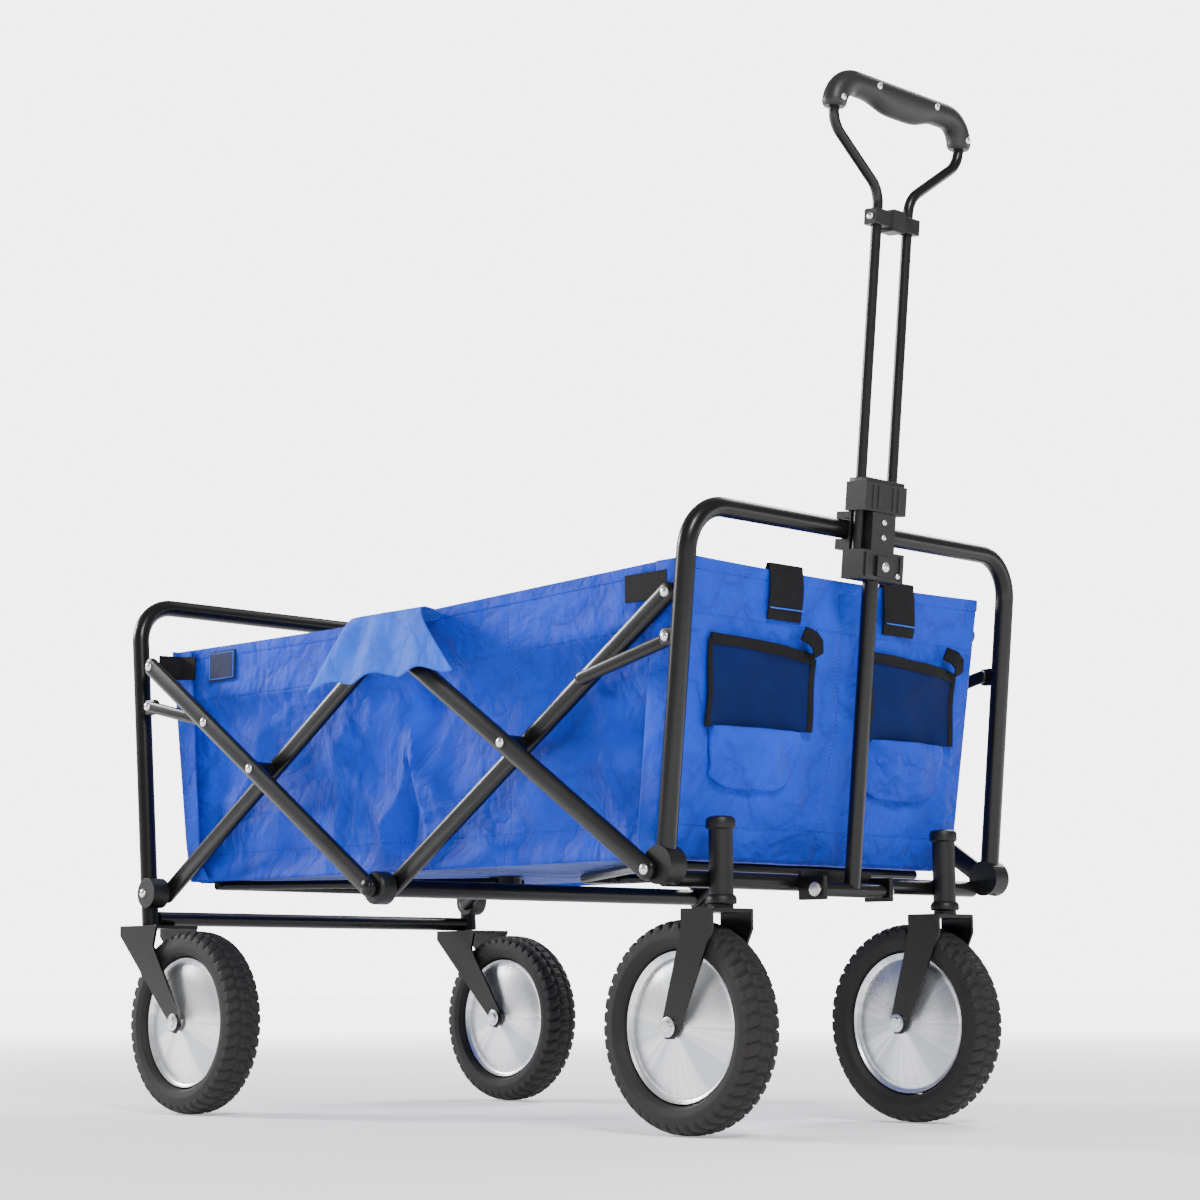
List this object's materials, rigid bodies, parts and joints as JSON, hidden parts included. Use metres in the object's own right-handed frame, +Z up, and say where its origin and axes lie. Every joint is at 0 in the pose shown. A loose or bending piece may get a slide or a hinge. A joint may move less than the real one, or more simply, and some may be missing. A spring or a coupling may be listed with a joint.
{
  "type": "folding utility wagon with pull handle",
  "caption": "Blue folding fabric utility wagon on a black steel scissor frame, with swivelling front wheels and a telescoping pull handle.",
  "frame": {"origin": "on the ground, under the middle of the overall box", "axes": "+X forward towards the pull handle, +Y to the left side, +Z up"},
  "size_m": [0.987, 0.5364, 1.0255],
  "materials": {
    "black_steel": "satin black powder coat",
    "black_plastic": "moulded black plastic, fine texture",
    "tyre_rubber": "black rubber with a knobby tread",
    "spun_metal": "bright, turned",
    "bolt_steel": "zinc plated",
    "blue_cloth": "woven polyester, royal blue",
    "floor_cloth": "padded boards covered in cloth"
  },
  "bodies": {
    "rear_frame": {"rear_frame_tube": "black_steel", "rear_cross_bar": "black_steel", "rear_corner_hub_right": "black_plastic", "rear_corner_hub_left": "black_plastic", "rear_fork_right": "black_steel", "rear_fork_left": "black_steel", "rear_wheel_right_axle": "bolt_steel", "rear_wheel_left_axle": "bolt_steel", "rear_panel": "blue_cloth", "bag_side_right": "blue_cloth", "bag_side_left": "blue_cloth"},
    "rear_wheel_right": {"rear_wheel_right_tyre": "tyre_rubber", "rear_wheel_right_disc": "spun_metal"},
    "rear_wheel_left": {"rear_wheel_left_tyre": "tyre_rubber", "rear_wheel_left_disc": "spun_metal"},
    "rear_low_bars": {"rear_low_bar_right": "black_steel", "rear_low_bar_left": "black_steel"},
    "rear_high_bars": {"rear_high_bar_right": "black_steel", "rear_high_bar_left": "black_steel", "bottom_middle_hub_right": "black_plastic", "bottom_middle_hub_left": "black_plastic", "bottom_cross_tube": "black_steel"},
    "front_low_bars": {"front_low_bar_right": "black_steel", "front_low_bar_left": "black_steel"},
    "front_high_bars": {"front_high_bar_right": "black_steel", "front_high_bar_left": "black_steel"},
    "rear_stays": {"rear_stay_right": "black_steel", "rear_stay_left": "black_steel"},
    "front_stays": {"front_stay_right": "black_steel", "front_stay_left": "black_steel"},
    "rear_floor": {"rear_floor_board": "floor_cloth", "rear_floor_rods": "black_steel"},
    "front_floor": {"front_floor_board": "floor_cloth", "front_floor_rods": "black_steel"},
    "front_frame": {"front_frame_tube": "black_steel", "front_cross_bar": "black_steel", "front_corner_hub_right": "black_plastic", "front_corner_hub_left": "black_plastic", "caster_sleeve_right": "black_plastic", "caster_sleeve_left": "black_plastic", "handle_bracket": "black_steel", "handle_hinge_pin": "bolt_steel", "front_panel": "blue_cloth"},
    "caster_right": {"caster_fork_right": "black_steel", "front_wheel_right_axle": "bolt_steel"},
    "caster_left": {"caster_fork_left": "black_steel", "front_wheel_left_axle": "bolt_steel"},
    "front_wheel_right": {"front_wheel_right_tyre": "tyre_rubber", "front_wheel_right_disc": "spun_metal"},
    "front_wheel_left": {"front_wheel_left_tyre": "tyre_rubber", "front_wheel_left_disc": "spun_metal"},
    "handle": {"handle_shaft": "black_steel", "lower_block": "black_plastic", "bar_clip": "black_plastic", "upper_sleeve": "black_plastic"},
    "handle_loop": {"handle_loop_tube": "black_steel", "handle_collar": "black_plastic", "handle_grip": "black_plastic"}
  },
  "joints": [
    {"name": "fold", "type": "hinge", "parent": "rear_frame", "child": "rear_low_bars", "pos_m": [-0.43393, 0, 0.24293], "axis": [0, -1, 0], "range_deg": [0, 50.7], "deforming": ["bag_side_right", "bag_side_left"]},
    {"name": "rear_crossing", "type": "hinge", "parent": "rear_low_bars", "child": "rear_high_bars", "pos_m": [-0.23668, 0, 0.3725], "axis": [0, -1, 0], "range_deg": [-101.5, 0]},
    {"name": "top_middle", "type": "hinge", "parent": "rear_low_bars", "child": "front_low_bars", "pos_m": [-0.03191, 0, 0.50701], "axis": [0, -1, 0], "range_deg": [-101.5, 0]},
    {"name": "front_crossing", "type": "hinge", "parent": "front_low_bars", "child": "front_high_bars", "pos_m": [0.17286, 0, 0.3725], "axis": [0, -1, 0], "range_deg": [0, 101.5]},
    {"name": "front_foot", "type": "hinge", "parent": "front_low_bars", "child": "front_frame", "pos_m": [0.37011, 0, 0.24293], "axis": [0, -1, 0], "range_deg": [0, 50.8]},
    {"name": "rear_stay_turn", "type": "hinge", "parent": "rear_frame", "child": "rear_stays", "pos_m": [-0.44691, 0, 0.4575], "axis": [0, -1, 0], "range_deg": [0, 90.6]},
    {"name": "front_stay_turn", "type": "hinge", "parent": "front_frame", "child": "front_stays", "pos_m": [0.38309, 0, 0.4575], "axis": [0, -1, 0], "range_deg": [-90.6, 0]},
    {"name": "rear_floor_fold", "type": "hinge", "parent": "rear_frame", "child": "rear_floor", "pos_m": [-0.39891, 0, 0.262], "axis": [0, -1, 0], "range_deg": [0, 98.97]},
    {"name": "front_floor_fold", "type": "hinge", "parent": "front_frame", "child": "front_floor", "pos_m": [0.33509, 0, 0.262], "axis": [0, -1, 0], "range_deg": [-98.97, 0]},
    {"name": "rear_wheel_right_roll", "type": "hinge", "parent": "rear_frame", "child": "rear_wheel_right", "pos_m": [-0.35991, -0.2364, 0.1], "axis": [0, 1, 0], "continuous": true},
    {"name": "rear_wheel_left_roll", "type": "hinge", "parent": "rear_frame", "child": "rear_wheel_left", "pos_m": [-0.35991, 0.2364, 0.1], "axis": [0, 1, 0], "continuous": true},
    {"name": "caster_right_swivel", "type": "hinge", "parent": "front_frame", "child": "caster_right", "pos_m": [0.37909, -0.166, 0.25], "axis": [0, 0, 1], "continuous": true},
    {"name": "caster_left_swivel", "type": "hinge", "parent": "front_frame", "child": "caster_left", "pos_m": [0.37909, 0.166, 0.25], "axis": [0, 0, 1], "continuous": true},
    {"name": "front_wheel_right_roll", "type": "hinge", "parent": "caster_right", "child": "front_wheel_right", "pos_m": [0.33659, -0.166, 0.1], "axis": [0, 1, 0], "continuous": true},
    {"name": "front_wheel_left_roll", "type": "hinge", "parent": "caster_left", "child": "front_wheel_left", "pos_m": [0.33659, 0.166, 0.1], "axis": [0, 1, 0], "continuous": true},
    {"name": "handle_tilt", "type": "hinge", "parent": "front_frame", "child": "handle", "pos_m": [0.39709, 0, 0.229], "axis": [0, 1, 0], "range_deg": [0, 95]},
    {"name": "handle_slide", "type": "slide", "parent": "handle", "child": "handle_loop", "axis": [-0.1054, 0, -0.9944], "range_m": [0, 0.235]}
  ],
  "couplings": [
    {"joint": "rear_crossing", "follows": "fold", "ratio": -2},
    {"joint": "top_middle", "follows": "fold", "ratio": -2},
    {"joint": "front_crossing", "follows": "fold", "ratio": 2},
    {"joint": "front_foot", "follows": "fold", "ratio": 1},
    {"joint": "rear_stay_turn", "follows": "fold", "ratio": 1.785},
    {"joint": "front_stay_turn", "follows": "fold", "ratio": -1.785},
    {"joint": "rear_floor_fold", "follows": "fold", "ratio": 1.95},
    {"joint": "front_floor_fold", "follows": "fold", "ratio": -1.95}
  ]
}
